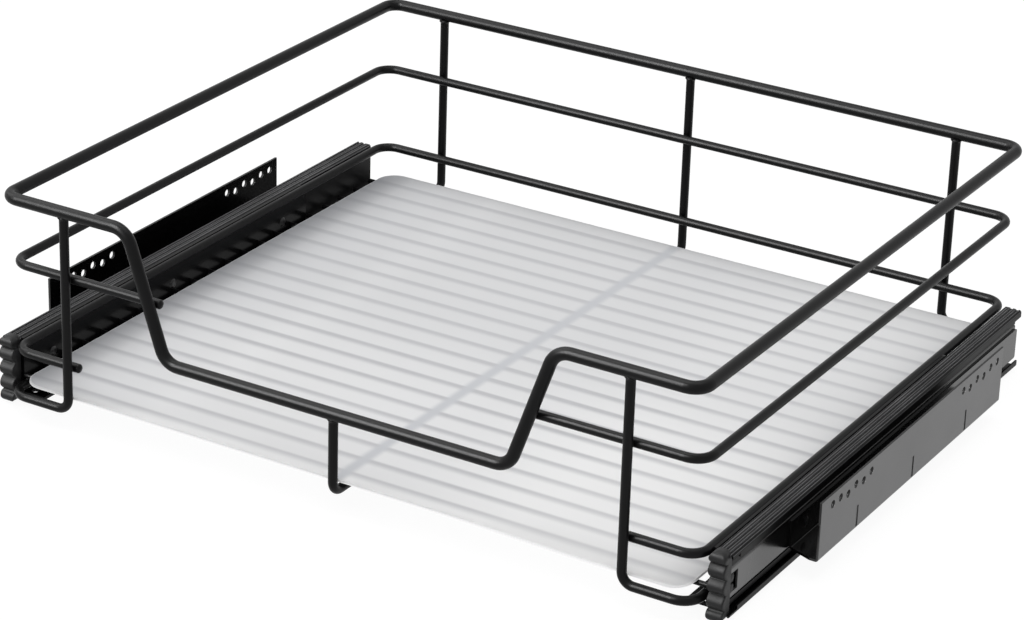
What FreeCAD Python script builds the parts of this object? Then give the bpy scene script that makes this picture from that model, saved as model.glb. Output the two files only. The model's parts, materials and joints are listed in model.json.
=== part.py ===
import FreeCAD, Part
import math
import os
import types

import Sketcher

# A telescopic kitchen drawer: a wire basket that runs on two ball-bearing slides, which hang on
# brackets screwed to a cabinet's side walls. X is across, Y runs from front to back and Z is up.
# The origin is in the middle of the plan, level with the underside of the end caps.
# All sizes are in millimetres. Heights are above the origin, and "front" places are measured
# back from the rim's front rod.
SIZES = [
    ("basket_width", 496, "over the rods at the two sides"),
    ("basket_depth", 442, "between the rim's front and back rods, centre to centre"),
    ("rim_height", 148, "height of the rim's centreline"),
    ("rim_dia", 8, "diameter of the rim's rod"),
    ("rim_corner", 10, "bend radius of the rim's four corners"),
    ("dip_mouth", 301, "width of the front dip at the rim"),
    ("dip_floor", 245, "width of the front dip at its lowest run"),
    ("dip_drop", 82, "depth of the front dip below the rim"),
    ("dip_shoulder", 14, "bend radius at the top of the dip"),
    ("dip_bend", 13, "bend radius at the foot of the dip"),
    ("rod_dia", 6, "diameter of the rods below the rim"),
    ("upper_ring_height", 101, "height of the upper ring's centreline"),
    ("lower_ring_height", 40.7, "height of the lower ring's centreline"),
    ("ring_corner", 12, "bend radius of the rings' corners"),
    ("upper_tip_reach", 3.5, "how far the upper ring's ends pass the dip's slanted runs"),
    ("lower_tip_reach", 4.5, "how far the lower ring's ends pass the frame rods"),
    ("frame_inset", 49, "outer frame rods, in from the basket's sides"),
    ("frame_height", 12.6, "height of the frame rods' bottom run"),
    ("frame_foot", 8, "bend radius at the frame rods' feet"),
    ("frame_corner", 12.5, "bend radius of the frame rods' corners"),
    ("cope_depth", 1.5, "how far a frame rod's coped end reaches up round the rim"),
    ("wire_dia", 3.5, "diameter of a floor wire"),
    ("wire_count", 21, "number of floor wires"),
    ("wire_front", 19, "first floor wire, behind the rim's front rod"),
    ("wire_back", 23, "last floor wire, ahead of the rim's back rod"),
    ("wire_end_gap", 1, "from a floor wire's end to the basket's side"),
    ("mat_thick", 1.8, "thickness of the mat"),
    ("mat_corner", 14, "corner radius of the mat"),
    ("mat_side_gap", 8.5, "from the mat to the basket's side"),
    ("mat_front_gap", 0.3, "from the mat to the front frame rods"),
    ("mat_back_gap", 4, "from the mat to the back frame rods"),
    ("carrier_thick", 2, "sheet of the carriers"),
    ("carrier_front", 19, "front of the carriers, behind the rim's front rod"),
    ("carrier_length", 319, "length of the carriers"),
    ("carrier_bottom", 3.4, "height of the carriers' underside"),
    ("carrier_height", 39.6, "height of the carriers' upright plate"),
    ("carrier_flange", 17.5, "width of the carriers' flange, with the plate"),
    ("carrier_bend", 2.5, "outer radius of the carriers' bend"),
    ("carrier_corner", 8, "radius of the plate's rear corner"),
    ("carrier_hole_dia", 5, "hole in the carriers' flange"),
    ("carrier_hole_back", 5, "that hole behind the flange's front edge"),
    ("carrier_hole_inset", 6.5, "that hole from the plate's outer face"),
    ("slide_height", 22.5, "height of the slides' middle"),
    ("slide_front", 16, "front of the slides, behind the rim's front rod"),
    ("slide_length", 409, "length of the drawer members"),
    ("slide_sheet", 1.2, "sheet of the slide members"),
    ("slide_bend", 1.7, "outer bend radius of the slide members"),
    ("outer_height", 41, "height of the drawer member"),
    ("outer_width", 12.3, "width of the drawer member"),
    ("lip_cut_length", 9, "how far the drawer member's lips are cut back at its front"),
    ("lip_cut_strip", 2.4, "height of the strip that is left of each lip there"),
    ("ridge_place", 7.4, "middle ridge of the drawer member's flanges, from the carrier"),
    ("ridge_spacing", 4, "spacing of the ridges"),
    ("groove_width", 1.9, "width of the grooves between the ridges"),
    ("groove_depth", 0.6, "depth of those grooves"),
    ("ball_dia", 3.2, "diameter of the balls"),
    ("ball_play", 0.3, "room between a ball and each track"),
    ("ball_count", 8, "balls in a row"),
    ("ball_pitch", 20, "spacing of the balls in a row"),
    ("ball_seat_play", 0.15, "room round a ball in its cage"),
    ("cage_thick", 0.4, "sheet of the ball cages"),
    ("cage_play", 0.3, "room on each side of a cage"),
    ("cage_front", 114, "front of the cages, behind the slides' front"),
    ("cage_length", 170, "length of the cages"),
    ("lip_play", 0.3, "room between a member's lip and the next member"),
    ("member_play", 1.7, "room between the middle member and the drawer member's lips"),
    ("member_setback", 2.5, "front of the inner members, behind the drawer member's front"),
    ("member_rear_setback", 2, "rear of the inner members, ahead of the drawer member's rear"),
    ("notch_height", 12.5, "height of the notch at the front of the cabinet member"),
    ("notch_depth", 9.7, "depth of that notch"),
    ("cap_depth", 7, "thickness of the end caps in front of the slides"),
    ("cap_skirt", 2, "how far an end cap's skirt reaches over the drawer member"),
    ("cap_wall", 2, "skirt above and below the drawer member"),
    ("cap_side_inset", 1.8, "end cap's outer side, in from the drawer member's outer side"),
    ("cap_inner_wall", 0.4, "skirt at the drawer member's inner side"),
    ("cap_fit", 0.1, "room between the skirt and the drawer member"),
    ("cap_corner", 4.5, "corner radius of the end caps"),
    ("lobe_count", 5, "waves down the front of an end cap"),
    ("lobe_pitch", 10.1, "spacing of the waves"),
    ("lobe_rise", 3, "how far each wave stands out"),
    ("bracket_sheet", 1.5, "sheet of the brackets"),
    ("bracket_bend", 2, "outer radius of the brackets' bends"),
    ("bracket_play", 0.3, "room between the middle member and the brackets"),
    ("bracket_width", 22.3, "width of the brackets"),
    ("bracket_bottom", 12, "height of the brackets' underside"),
    ("bracket_front", 88, "front of the brackets, behind the rim's front rod"),
    ("bracket_length", 261, "length of the brackets' outer plate"),
    ("wall_plate_height", 38.7, "height of the brackets' outer plate"),
    ("slide_plate_height", 18.3, "height of the brackets' inner plate"),
    ("slide_plate_setback", 7, "how far the inner plate starts behind the outer plate"),
    ("slide_plate_drop", 2.7, "how far the inner plate reaches below the floor, behind it"),
    ("slide_plate_gap", 2, "from the floor's rear to that lower part"),
    ("slide_plate_corner", 1.5, "corner radius at the inner plate's rear"),
    ("hole_dia", 5.2, "screw holes in the brackets' outer plate"),
    ("hole_pitch", 10.4, "spacing of the screw holes in a group"),
    ("hole_span", 237, "from the first to the last screw hole"),
    ("hole_front", 15, "first screw hole, behind the bracket's front"),
    ("hole_drop", 6.7, "upper screw holes, below the outer plate's top"),
    ("hole_stagger", 2, "lower screw holes, below the upper ones"),
    ("gusset_front", 50.7, "first gusset, behind the bracket's front"),
    ("gusset_pitch", 78, "spacing of the gussets"),
    ("gusset_count", 3, "number of gussets"),
    ("gusset_width", 2.4, "width of a gusset"),
    ("gusset_dent", 0.5, "depth of the dent that a gusset leaves in the outer plate"),
    ("gusset_height", 16, "height of a gusset"),
    ("gusset_foot", 8, "foot of a gusset on the bracket's floor"),
    ("rivet_dia", 4, "shank of the rivets"),
    ("rivet_play", 0.1, "room round a rivet's shank"),
    ("rivet_head_dia", 7, "head of the rivets"),
    ("rivet_head_height", 0.9, "height of a rivet's head"),
    ("rivet_tail_height", 0.6, "height of the tail that is formed inside the cabinet member"),
    ("carrier_rivet_inset", 30, "first carrier rivet, behind the carriers' front"),
    ("carrier_rivet_rear", 29, "last carrier rivet, ahead of the carriers' rear"),
    ("bracket_rivet_inset", 24, "first bracket rivet, behind the brackets' front"),
    ("bracket_rivet_rear", 28, "last bracket rivet, ahead of the slides' rear"),
    ("rivet_count", 3, "rivets in each joint"),
]

# The screw holes of a bracket's front group, from the front: 0 is an upper hole, 1 a lower one.
# The rear group mirrors it.
HOLE_ROWS = [0, 0, 1, 0, 1, 0]

Vector = FreeCAD.Vector
ALONG_X = FreeCAD.Rotation(Vector(0, 1, 0), 90)


class Size:
    """A length that keeps its value together with its spreadsheet formula."""

    def __init__(self, value, text):
        self.value = value
        self.text = text

    def __add__(self, other):
        other = as_size(other)
        return Size(self.value + other.value, f"({self.text} + {other.text})")

    def __sub__(self, other):
        other = as_size(other)
        return Size(self.value - other.value, f"({self.text} - {other.text})")

    def __mul__(self, other):
        other = as_size(other)
        return Size(self.value * other.value, f"({self.text} * {other.text})")

    def __truediv__(self, other):
        other = as_size(other)
        return Size(self.value / other.value, f"({self.text} / {other.text})")

    def __neg__(self):
        return Size(-self.value, f"(0 - {self.text})")


def as_size(number):
    """Gives a plain number the form of a size."""
    if isinstance(number, Size):
        return number
    return Size(number, f"({number})")


def make_sheet(doc):
    """Writes the driving sizes to a spreadsheet and returns them by name."""
    sheet = doc.addObject("Spreadsheet::Sheet", "sizes")
    for row, (name, value, note) in enumerate(SIZES, start=1):
        sheet.set(f"A{row}", name)
        sheet.set(f"B{row}", str(value))
        sheet.set(f"C{row}", note)
        sheet.setAlias(f"B{row}", name)
    doc.recompute()
    return types.SimpleNamespace(
        **{name: Size(sheet.get(name), f"sizes.{name}") for name, _, _ in SIZES}
    )


doc = FreeCAD.newDocument("drawer")
s = make_sheet(doc)
nodes = []


def bind(item, name, size):
    """Binds a property of a document object to a size."""
    item.setExpression(name, as_size(size).text)


def bind_place(item, x, y, z):
    """Binds an object's place to three sizes."""
    bind(item, "Placement.Base.x", x)
    bind(item, "Placement.Base.y", y)
    bind(item, "Placement.Base.z", z)


def name_node(item, label):
    """Names an object and lists it as a sub-part."""
    item.Label = label
    nodes.append(item)
    return item


def new_body(name, x, y, z):
    """Starts a body whose own origin lies at the given place."""
    body = doc.addObject("PartDesign::Body", name)
    bind_place(body, x, y, z)
    return body


def new_sketch(body, name, plane, offset=None):
    """Starts a sketch on one of a body's origin planes, XY, XZ or YZ."""
    sketch = body.newObject("Sketcher::SketchObject", name)
    planes = {item.Role: item for item in body.Origin.OriginFeatures}
    sketch.AttachmentSupport = (planes[f"{plane}_Plane"], [""])
    sketch.MapMode = "FlatFace"
    if offset is not None:
        bind(sketch, "AttachmentOffset.Base.z", offset)
    return sketch


def hold(sketch, kind, geometry, size):
    """Adds a dimension to a sketch and binds it to a size."""
    size = as_size(size)
    index = sketch.addConstraint(Sketcher.Constraint(kind, *geometry, size.value))
    sketch.setExpression(f"Constraints[{index}]", size.text)


def hold_point(sketch, item, end, x, y):
    """Holds one end of a sketch's line or arc at a place."""
    hold(sketch, "DistanceX", (-1, 1, item, end), x)
    hold(sketch, "DistanceY", (-1, 1, item, end), y)


def draw_outline(sketch, corners, closed=True):
    """Draws runs from corner to corner. A corner is (x, y), or (x, y, bend) where it is rounded."""
    corners = [(as_size(x), as_size(y), *bend) for x, y, *bend in corners]
    spots = [Vector(corner[0].value, corner[1].value, 0) for corner in corners]
    bends = [corner[2].value if len(corner) > 2 else 0 for corner in corners]
    count = len(corners)
    runs = count if closed else count - 1
    kinds = []
    lines = []
    for index in range(runs):
        after = (index + 1) % count
        along = (spots[after] - spots[index]).normalize()
        start = spots[index] + along * bends[index]
        end = spots[after] - along * bends[after]
        lines.append(sketch.addGeometry(Part.LineSegment(start, end)))
        if abs(along.x) < 1e-9:
            kinds.append("Vertical")
        elif abs(along.y) < 1e-9:
            kinds.append("Horizontal")
        else:
            kinds.append("Slanted")
    for index, (line, kind) in enumerate(zip(lines, kinds)):
        x, y = corners[index][:2]
        if kind == "Vertical":
            sketch.addConstraint(Sketcher.Constraint("Vertical", line))
            hold(sketch, "DistanceX", (-1, 1, line, 1), x)
        elif kind == "Horizontal":
            sketch.addConstraint(Sketcher.Constraint("Horizontal", line))
            hold(sketch, "DistanceY", (-1, 1, line, 1), y)
        else:
            end_x, end_y = corners[(index + 1) % count][:2]
            if kinds[index - 1] == "Vertical":
                hold(sketch, "DistanceY", (-1, 1, line, 1), y)
            else:
                hold(sketch, "DistanceX", (-1, 1, line, 1), x)
            if kinds[(index + 1) % runs] == "Vertical":
                hold(sketch, "DistanceY", (-1, 1, line, 2), end_y)
            else:
                hold(sketch, "DistanceX", (-1, 1, line, 2), end_x)
    for index in range(0 if closed else 1, runs):
        before = lines[index - 1]
        after = lines[index]
        if bends[index] == 0:
            sketch.addConstraint(Sketcher.Constraint("Coincident", before, 2, after, 1))
        else:
            join_by_arc(sketch, before, after, corners[index][2])
    if not closed:
        hold_end(sketch, lines[0], 1, kinds[0], corners[0])
        hold_end(sketch, lines[-1], 2, kinds[-1], corners[-1])


def hold_end(sketch, line, end, kind, corner):
    """Holds the free end of an open outline along its own run."""
    if kind == "Vertical":
        hold(sketch, "DistanceY", (-1, 1, line, end), corner[1])
    else:
        hold(sketch, "DistanceX", (-1, 1, line, end), corner[0])


def join_by_arc(sketch, before, after, bend):
    """Joins two runs of an outline by an arc that touches both."""
    first = sketch.Geometry[before]
    second = sketch.Geometry[after]
    along = (first.EndPoint - first.StartPoint).normalize()
    onward = (second.EndPoint - second.StartPoint).normalize()
    centre = first.EndPoint + onward * bend.value
    left_turn = along.cross(onward).z > 0
    start, end = first.EndPoint, second.StartPoint
    if not left_turn:
        start, end = end, start
    start_angle = math.atan2(start.y - centre.y, start.x - centre.x)
    end_angle = math.atan2(end.y - centre.y, end.x - centre.x)
    circle = Part.Circle(centre, Vector(0, 0, 1), bend.value)
    arc = sketch.addGeometry(Part.ArcOfCircle(circle, start_angle, end_angle))
    sketch.addConstraint(Sketcher.Constraint("Tangent", before, 2, arc, 1 if left_turn else 2))
    sketch.addConstraint(Sketcher.Constraint("Tangent", after, 1, arc, 2 if left_turn else 1))
    hold(sketch, "Radius", (arc,), bend)


def draw_circle(sketch, x, y, diameter):
    """Draws a circle at a place."""
    x, y, diameter = as_size(x), as_size(y), as_size(diameter)
    circle = Part.Circle(Vector(x.value, y.value, 0), Vector(0, 0, 1), diameter.value / 2)
    index = sketch.addGeometry(circle)
    hold_point(sketch, index, 3, x, y)
    hold(sketch, "Diameter", (index,), diameter)


def pad(body, sketch, length, reverse=False):
    """Pads a sketch."""
    feature = body.newObject("PartDesign::Pad", f"{sketch.Name}_pad")
    feature.Profile = sketch
    feature.Reversed = reverse
    bind(feature, "Length", length)
    sketch.Visibility = False
    return feature


def cut_through(body, sketch):
    """Cuts a sketch's outline right through a body, to both sides of the sketch."""
    feature = body.newObject("PartDesign::Pocket", f"{sketch.Name}_cut")
    feature.Profile = sketch
    feature.Type = "ThroughAll"
    feature.Midplane = True
    sketch.Visibility = False
    return feature


def cut_to_depth(body, sketch, depth, reverse):
    """Cuts a sketch's outline to a depth."""
    feature = body.newObject("PartDesign::Pocket", f"{sketch.Name}_cut")
    feature.Profile = sketch
    feature.Reversed = reverse
    bind(feature, "Length", depth)
    sketch.Visibility = False
    return feature


def rod_shape(corners, diameter, closed=False):
    """Bends a round rod along its corners, which are (place, bend radius)."""
    places = [Vector(*place) for place, _ in corners]
    bends = [bend for _, bend in corners]
    count = len(places)
    edges = []
    spot = places[0]
    turns = range(1, count) if closed else range(1, count - 1)
    for index in turns:
        corner = places[index]
        along = (corner - places[index - 1]).normalize()
        onward = (places[(index + 1) % count] - corner).normalize()
        turn = along.getAngle(onward)
        tangent = bends[index] * math.tan(turn / 2)
        start = corner - along * tangent
        end = corner + onward * tangent
        inward = (onward - along).normalize()
        middle = corner + inward * (bends[index] / math.cos(turn / 2) - bends[index])
        edges.append(Part.makeLine(spot, start))
        edges.append(Part.Arc(start, middle, end).toShape())
        spot = end
    edges.append(Part.makeLine(spot, places[0] if closed else places[-1]))
    first = (places[1] - places[0]).normalize()
    section = Part.Wire([Part.makeCircle(diameter / 2, places[0], first)])
    return Part.Wire(edges).makePipeShell([section], True, False)


def rod_feature(name, corners, diameter, closed=False, coped_by=None):
    """Makes a bent rod a sub-part, coped to another rod where that is given."""
    shape = rod_shape(corners, diameter, closed)
    if coped_by is not None:
        shape = shape.cut(coped_by)
    feature = doc.addObject("Part::Feature", name)
    feature.Shape = shape.Solids[0]
    feature.Placement = FreeCAD.Placement()
    return name_node(feature, name)


# Places that several pieces share.
half_width = s.basket_width / 2
front = -(s.basket_depth / 2)
rim_side = half_width - s.rim_dia / 2
ring_side = half_width - s.rod_dia / 2
frame_side = half_width - s.frame_inset
frame_back = s.basket_depth / 2 - (s.rim_dia - s.rod_dia) / 2
ring_back = frame_back - s.rod_dia
dip_height = s.rim_height - s.dip_drop
slide_side = half_width + s.carrier_thick
slide_start = front + s.slide_front
track = s.ball_dia + s.ball_play * 2
web_play = s.cage_thick + s.cage_play * 2
outer_half = s.outer_height / 2
middle_half = outer_half - s.slide_sheet - track
inner_half = middle_half - s.slide_sheet - track
middle_web = s.slide_sheet + web_play
middle_reach = s.outer_width - s.slide_sheet - s.member_play
inner_edge = middle_web + s.slide_sheet + web_play
inner_reach = middle_reach + s.bracket_play
member_front = slide_start + s.member_setback
member_length = s.slide_length - s.member_setback - s.member_rear_setback
sheet_inside_bend = s.slide_bend - s.slide_sheet
wire_pitch = (s.basket_depth - s.wire_front - s.wire_back) / (s.wire_count - 1)
carrier_rivet_front = s.carrier_front + s.carrier_rivet_inset
carrier_rivet_back = s.carrier_front + s.carrier_length - s.carrier_rivet_rear
carrier_rivet_pitch = (carrier_rivet_back - carrier_rivet_front) / (s.rivet_count - 1)
bracket_rivet_front = s.bracket_front + s.bracket_rivet_inset
bracket_rivet_back = s.slide_front + s.slide_length - s.bracket_rivet_rear
bracket_rivet_pitch = (bracket_rivet_back - bracket_rivet_front) / (s.rivet_count - 1)


def make_rim():
    """The top rod: one closed loop that dips at the front."""
    side, back = rim_side.value, s.basket_depth.value / 2
    high, low = s.rim_height.value, dip_height.value
    corner, shoulder, bend = s.rim_corner.value, s.dip_shoulder.value, s.dip_bend.value
    mouth, floor = s.dip_mouth.value / 2, s.dip_floor.value / 2
    corners = [
        ((0, back, high), 0),
        ((side, back, high), corner),
        ((side, -back, high), corner),
        ((mouth, -back, high), shoulder),
        ((floor, -back, low), bend),
        ((-floor, -back, low), bend),
        ((-mouth, -back, high), shoulder),
        ((-side, -back, high), corner),
        ((-side, back, high), corner),
    ]
    return rod_feature("rim_rod", corners, s.rim_dia.value, closed=True)


def make_ring(label, height, tip):
    """A C-shaped ring inside the frame rods, open at the front."""
    body = new_body(label, 0, 0, height)
    path = new_sketch(body, f"{label}_path", "XY")
    draw_outline(path, [
        (tip, -ring_back),
        (ring_side, -ring_back, s.ring_corner),
        (ring_side, ring_back, s.ring_corner),
        (-ring_side, ring_back, s.ring_corner),
        (-ring_side, -ring_back, s.ring_corner),
        (-tip, -ring_back),
    ], closed=False)
    section = new_sketch(body, f"{label}_section", "YZ", tip)
    draw_circle(section, -ring_back, 0, s.rod_dia)
    pipe = body.newObject("PartDesign::AdditivePipe", f"{label}_pipe")
    pipe.Profile = section
    pipe.Spine = path
    return name_node(body, label)


def make_frame_rods(rim):
    """Three U-shaped rods: down from the rim's front, back under the floor and up to the rim."""
    back, low, high = frame_back.value, s.frame_height.value, s.rim_height.value
    end_above_rim_centre = s.cope_depth.value - s.rim_dia.value / 2
    top = high + end_above_rim_centre
    dip_top = dip_height.value + end_above_rim_centre
    foot, corner = s.frame_foot.value, s.frame_corner.value
    centre = [
        ((0, -back, dip_top), 0),
        ((0, -back, low), foot),
        ((0, back, low), foot),
        ((0, back, top), 0),
    ]
    rod_feature("centre_frame_rod", centre, s.rod_dia.value, coped_by=rim.Shape)
    for label, sign in (("left_frame_rod", -1), ("right_frame_rod", 1)):
        place, side = sign * frame_side.value, sign * ring_side.value
        corners = [
            ((place, -back, top), 0),
            ((place, -back, low), foot),
            ((side, -back, low), corner),
            ((side, back, low), corner),
            ((place, back, low), foot),
            ((place, back, top), 0),
        ]
        rod_feature(label, corners, s.rod_dia.value, coped_by=rim.Shape)


def make_floor_wires():
    """Straight wires across the basket, which rest on the frame rods."""
    reach = half_width - s.wire_end_gap
    height = s.frame_height + s.rod_dia / 2 + s.wire_dia / 2
    for index in range(int(s.wire_count.value)):
        label = f"floor_wire_{index + 1:02d}"
        wire = doc.addObject("Part::Cylinder", label)
        wire.Placement = FreeCAD.Placement(Vector(), ALONG_X)
        bind(wire, "Radius", s.wire_dia / 2)
        bind(wire, "Height", reach * 2)
        bind_place(wire, -reach, front + s.wire_front + wire_pitch * index, height)
        name_node(wire, label)


def make_mat():
    """The plastic mat, a loose liner on the floor wires."""
    body = new_body("mat", 0, 0, s.frame_height + s.rod_dia / 2 + s.wire_dia)
    side = half_width - s.mat_side_gap
    near = -frame_back + s.rod_dia / 2 + s.mat_front_gap
    far = frame_back - s.rod_dia / 2 - s.mat_back_gap
    plan = new_sketch(body, "mat_plan", "XY")
    draw_outline(plan, [
        (-side, near, s.mat_corner),
        (side, near, s.mat_corner),
        (side, far, s.mat_corner),
        (-side, far, s.mat_corner),
    ])
    pad(body, plan, s.mat_thick)
    return name_node(body, "mat")


def make_carrier():
    """The right carrier: an angle under the basket's side that joins it to the slide."""
    body = new_body("carrier", slide_side, front + s.carrier_front, s.carrier_bottom)
    section = new_sketch(body, "carrier_section", "XZ")
    inside_bend = s.carrier_bend - s.carrier_thick
    draw_outline(section, [
        (-s.carrier_flange, 0),
        (0, 0, s.carrier_bend),
        (0, s.carrier_height),
        (-s.carrier_thick, s.carrier_height),
        (-s.carrier_thick, s.carrier_thick, inside_bend),
        (-s.carrier_flange, s.carrier_thick),
    ])
    pad(body, section, s.carrier_length, reverse=True)
    flange_hole = new_sketch(body, "carrier_flange_hole", "XY")
    draw_circle(flange_hole, -s.carrier_hole_inset, s.carrier_hole_back, s.carrier_hole_dia)
    cut_to_depth(body, flange_hole, s.carrier_thick, reverse=True)
    height = s.slide_height - s.carrier_bottom
    cut_rivet_holes(body, s.carrier_rivet_inset, carrier_rivet_pitch, height)
    round_rear_corners(body, s.carrier_length, [s.carrier_height], s.carrier_corner)
    return body


def cut_rivet_holes(body, first, pitch, height):
    """Cuts the row of rivet holes through a body's web."""
    holes = new_sketch(body, f"{body.Name}_rivet_holes", "YZ")
    for index in range(int(s.rivet_count.value)):
        draw_circle(holes, first + pitch * index, height, s.rivet_dia + s.rivet_play * 2)
    return cut_through(body, holes)


def round_rear_corners(body, length, heights, radius):
    """Rounds the rear corners of an upright plate, at the given heights."""
    doc.recompute()
    base = body.Tip
    names = []
    for index, edge in enumerate(base.Shape.Edges, start=1):
        box = edge.BoundBox
        at_rear = abs(box.YMin - length.value) < 1e-6 and abs(box.YMax - length.value) < 1e-6
        level = any(abs(box.ZMin - height.value) < 1e-6 and box.ZLength < 1e-6 for height in heights)
        if at_rear and level:
            names.append(f"Edge{index}")
    fillet = body.newObject("PartDesign::Fillet", f"{body.Name}_rear_corners")
    fillet.Base = (base, names)
    bind(fillet, "Radius", radius)
    return fillet


def make_drawer_member():
    """The large channel on the carrier, open outward, with three ridges along each flange."""
    body = new_body("drawer_member", slide_side, slide_start, s.slide_height)
    lip_end = middle_half + s.lip_play
    groove_floor = outer_half - s.groove_depth
    upper = [(s.outer_width, lip_end), (s.outer_width, outer_half, s.slide_bend)]
    for place in (s.ridge_place + s.ridge_spacing / 2, s.ridge_place - s.ridge_spacing / 2):
        near, far = place + s.groove_width / 2, place - s.groove_width / 2
        upper += [(near, outer_half), (near, groove_floor), (far, groove_floor), (far, outer_half)]
    inner_wall = s.outer_width - s.slide_sheet
    inner_top = outer_half - s.slide_sheet
    upper.append((as_size(0), outer_half, s.slide_bend))
    upper_inside = [
        (s.slide_sheet, inner_top, sheet_inside_bend),
        (inner_wall, inner_top, sheet_inside_bend),
        (inner_wall, lip_end),
    ]
    lower = [(x, -y, *bend) for x, y, *bend in reversed(upper)]
    lower_inside = [(x, -y, *bend) for x, y, *bend in reversed(upper_inside)]
    section = new_sketch(body, "drawer_member_section", "XZ")
    draw_outline(section, upper + lower + lower_inside + upper_inside)
    pad(body, section, s.slide_length, reverse=True)
    lip_cuts = new_sketch(body, "drawer_member_lip_cuts", "YZ", s.outer_width)
    strip_end = outer_half - s.lip_cut_strip
    for low, high in ((lip_end / 2, strip_end), (-strip_end, -(lip_end / 2))):
        draw_outline(lip_cuts, [
            (-s.lip_cut_length, low),
            (s.lip_cut_length, low),
            (s.lip_cut_length, high),
            (-s.lip_cut_length, high),
        ])
    cut_to_depth(body, lip_cuts, s.slide_sheet, reverse=False)
    first = carrier_rivet_front - s.slide_front
    cut_rivet_holes(body, first, carrier_rivet_pitch, 0)
    return body


def make_middle_member():
    """The channel that runs inside the drawer member and carries it, open outward."""
    body = new_body("middle_member", slide_side, member_front, s.slide_height)
    lip_end = inner_half + s.lip_play
    inner_wall = middle_reach - s.slide_sheet
    inner_top = middle_half - s.slide_sheet
    upper = [
        (middle_reach, lip_end),
        (middle_reach, middle_half, s.slide_bend),
        (middle_web, middle_half, s.slide_bend),
    ]
    upper_inside = [
        (middle_web + s.slide_sheet, inner_top, sheet_inside_bend),
        (inner_wall, inner_top, sheet_inside_bend),
        (inner_wall, lip_end),
    ]
    lower = [(x, -y, *bend) for x, y, *bend in reversed(upper)]
    lower_inside = [(x, -y, *bend) for x, y, *bend in reversed(upper_inside)]
    section = new_sketch(body, "middle_member_section", "XZ")
    draw_outline(section, upper + lower + lower_inside + upper_inside)
    pad(body, section, member_length, reverse=True)
    return body


def make_cabinet_member():
    """The channel on the bracket, open toward the drawer, with a notch at its front."""
    body = new_body("cabinet_member", slide_side, member_front, s.slide_height)
    inside = inner_reach - s.slide_sheet
    inner_top = inner_half - s.slide_sheet
    section = new_sketch(body, "cabinet_member_section", "XZ")
    draw_outline(section, [
        (inner_edge, inner_top),
        (inside, inner_top, sheet_inside_bend),
        (inside, -inner_top, sheet_inside_bend),
        (inner_edge, -inner_top),
        (inner_edge, -inner_half),
        (inner_reach, -inner_half, s.slide_bend),
        (inner_reach, inner_half, s.slide_bend),
        (inner_edge, inner_half),
    ])
    pad(body, section, member_length, reverse=True)
    notch = new_sketch(body, "cabinet_member_notch", "YZ")
    draw_outline(notch, [
        (-s.notch_depth, -(s.notch_height / 2)),
        (s.notch_depth, -(s.notch_height / 2)),
        (s.notch_depth, s.notch_height / 2),
        (-s.notch_depth, s.notch_height / 2),
    ])
    cut_through(body, notch)
    first = bracket_rivet_front - s.slide_front - s.member_setback
    cut_rivet_holes(body, first, bracket_rivet_pitch, 0)
    return body


def ball_row(count, pitch, length, index):
    """Place of one ball in a row that is centred in its cage."""
    return (length - pitch * (count - 1)) / 2 + pitch * index


def make_cage(label, near, far, row_height):
    """A thin C-shaped cage that keeps the upper and the lower row of balls apart."""
    body = new_body(label, slide_side, slide_start + s.cage_front, s.slide_height)
    top = row_height + s.cage_thick / 2
    under = row_height - s.cage_thick / 2
    section = new_sketch(body, f"{label}_section", "XZ")
    draw_outline(section, [
        (near, -top),
        (far, -top),
        (far, -under),
        (near + s.cage_thick, -under),
        (near + s.cage_thick, under),
        (far, under),
        (far, top),
        (near, top),
    ])
    pad(body, section, s.cage_length, reverse=True)
    holes = new_sketch(body, f"{label}_ball_holes", "XY")
    count = int(s.ball_count.value)
    for index in range(count):
        place = ball_row(count, s.ball_pitch, s.cage_length, index)
        draw_circle(holes, ball_line, place, s.ball_dia + s.ball_seat_play * 2)
    cut_through(body, holes)
    return body


def make_balls(label, row_height):
    """Two rows of balls, one above and one below the slide's middle."""
    balls = []
    count = int(s.ball_count.value)
    for row, height in (("upper", row_height), ("lower", -row_height)):
        for index in range(count):
            place = ball_row(count, s.ball_pitch, s.cage_length, index)
            ball = doc.addObject("Part::Sphere", f"{label}_{row}_{index + 1}")
            bind(ball, "Radius", s.ball_dia / 2)
            along = slide_start + s.cage_front + place
            bind_place(ball, slide_side + ball_line, along, s.slide_height + height)
            balls.append(ball)
    group = doc.addObject("Part::Compound", label)
    group.Links = balls
    return group


def make_end_cap():
    """The plastic cap over the drawer member's front end, with waves down its face."""
    body = new_body("end_cap", slide_side, slide_start - s.cap_depth, s.slide_height)
    top = outer_half + s.cap_wall
    far = s.outer_width - s.cap_side_inset
    outline = new_sketch(body, "end_cap_outline", "XZ")
    draw_outline(outline, [
        (-s.cap_inner_wall, -top, s.cap_corner),
        (far, -top, s.cap_corner),
        (far, top, s.cap_corner),
        (-s.cap_inner_wall, top, s.cap_corner),
    ])
    pad(body, outline, s.cap_depth + s.cap_skirt, reverse=True)
    socket = new_sketch(body, "end_cap_socket", "XZ", -s.cap_depth)
    seat = outer_half + s.cap_fit
    draw_outline(socket, [
        (as_size(0), -seat, s.slide_bend),
        (s.outer_width + s.cap_fit, -seat, s.slide_bend),
        (s.outer_width + s.cap_fit, seat, s.slide_bend),
        (as_size(0), seat, s.slide_bend),
    ])
    cut_to_depth(body, socket, s.cap_skirt, reverse=False)
    waves = new_sketch(body, "end_cap_waves", "YZ")
    draw_waves(waves)
    cut_through(body, waves)
    return body


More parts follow.
